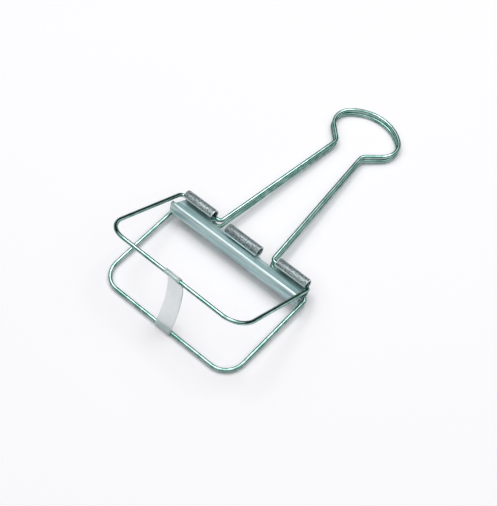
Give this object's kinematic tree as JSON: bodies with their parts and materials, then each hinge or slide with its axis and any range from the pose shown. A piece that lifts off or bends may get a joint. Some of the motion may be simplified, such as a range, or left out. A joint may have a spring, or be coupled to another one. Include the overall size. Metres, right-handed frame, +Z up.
{
  "type": "letter clip",
  "caption": "Open-frame wire letter clip: rolled sheet spring, two hinged wire jaws, two fold-over wire handles and a clear prop strip that holds the jaws apart.",
  "frame": {"origin": "on the table, under the middle of the clip's overall box", "axes": "+Y from the jaws towards the handle loops, +Z up off the table, +X along the hinge lines, to the right when the clip is seen from its jaws"},
  "size_m": [0.051, 0.101, 0.0231],
  "materials": {
    "green_wire": "metallic mint-green lacquer",
    "green_sheet": "metallic grey-green lacquer",
    "clear_plastic": "clear, slightly milky"
  },
  "bodies": {
    "lower": {"lower_jaw_frame": "green_wire", "spring_body": "green_sheet", "clear_strip": "clear_plastic"},
    "upper": {"upper_jaw_frame": "green_wire"},
    "upper_grip": {"upper_handle": "green_wire"},
    "lower_grip": {"lower_handle": "green_wire"}
  },
  "joints": [
    {"name": "jaw_close", "type": "hinge", "parent": "lower", "child": "upper", "pos_m": [0, -0.02031, 0.00517], "axis": [1, 0, 0], "range_deg": [0, 40], "stiffness_Nm_per_rad": 0.05, "deforming": ["spring_body", "clear_strip"]},
    {"name": "upper_handle_fold", "type": "hinge", "parent": "upper", "child": "upper_grip", "pos_m": [0, -0.01422, 0.00504], "axis": [1, 0, 0], "range_deg": [0, 146]},
    {"name": "lower_handle_fold", "type": "hinge", "parent": "lower", "child": "lower_grip", "pos_m": [0, -0.01481, 0.00255], "axis": [1, 0, 0], "range_deg": [-167, 0]}
  ]
}
